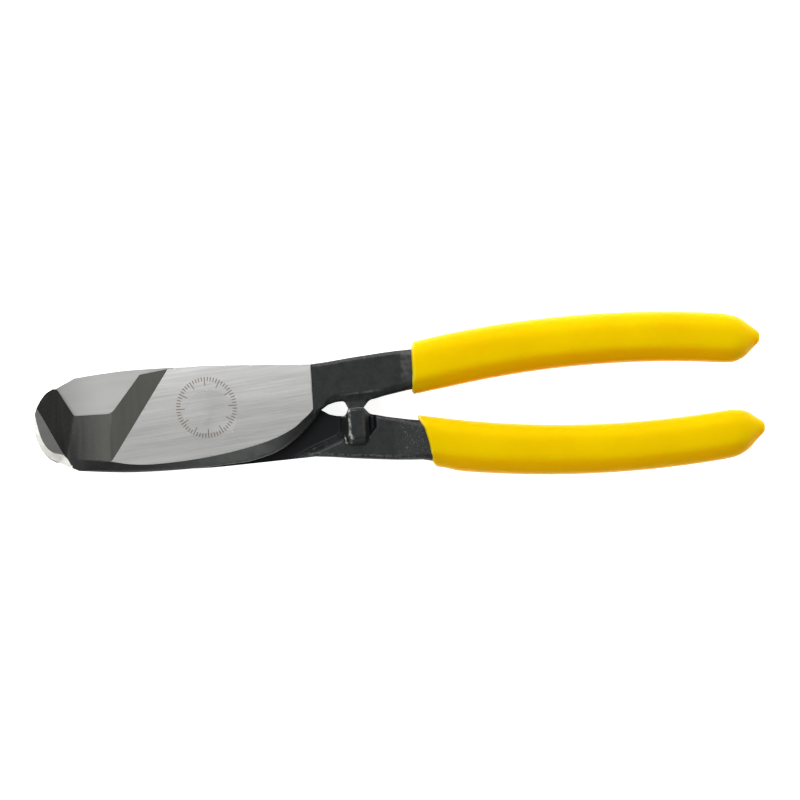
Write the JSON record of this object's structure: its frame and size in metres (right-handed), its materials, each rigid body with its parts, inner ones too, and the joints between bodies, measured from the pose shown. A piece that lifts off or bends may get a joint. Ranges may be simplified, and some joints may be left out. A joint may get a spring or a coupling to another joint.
{
  "type": "cable cutter",
  "caption": "Hand cable cutter: two forged levers with hooked shear jaws cross in a lap joint on a flush rivet, with dipped vinyl grips.",
  "frame": {"origin": "on the rivet's axis, in the plane of the head's ground rear face", "axes": "+X along the tool from the pivot to the ends of the handles, +Y to the handle of the front lever, +Z out of the head's front face, along the rivet's axis"},
  "size_m": [0.2091, 0.0456, 0.0128],
  "materials": {
    "forged_steel": "black oxide forging with ground faces",
    "rivet_steel": "ground flush",
    "grip_vinyl": "dipped vinyl"
  },
  "bodies": {
    "rear_lever": {"rear_jaw_lever": "forged_steel", "pivot_rivet": "rivet_steel", "rear_grip": "grip_vinyl"},
    "front_lever": {"front_jaw_lever": "forged_steel", "front_grip": "grip_vinyl"}
  },
  "joints": [
    {"name": "jaw_pivot", "type": "hinge", "parent": "rear_lever", "child": "front_lever", "pos_m": [0, 0, 0.0056], "axis": [0, 0, 1], "range_deg": [0, 60]}
  ]
}
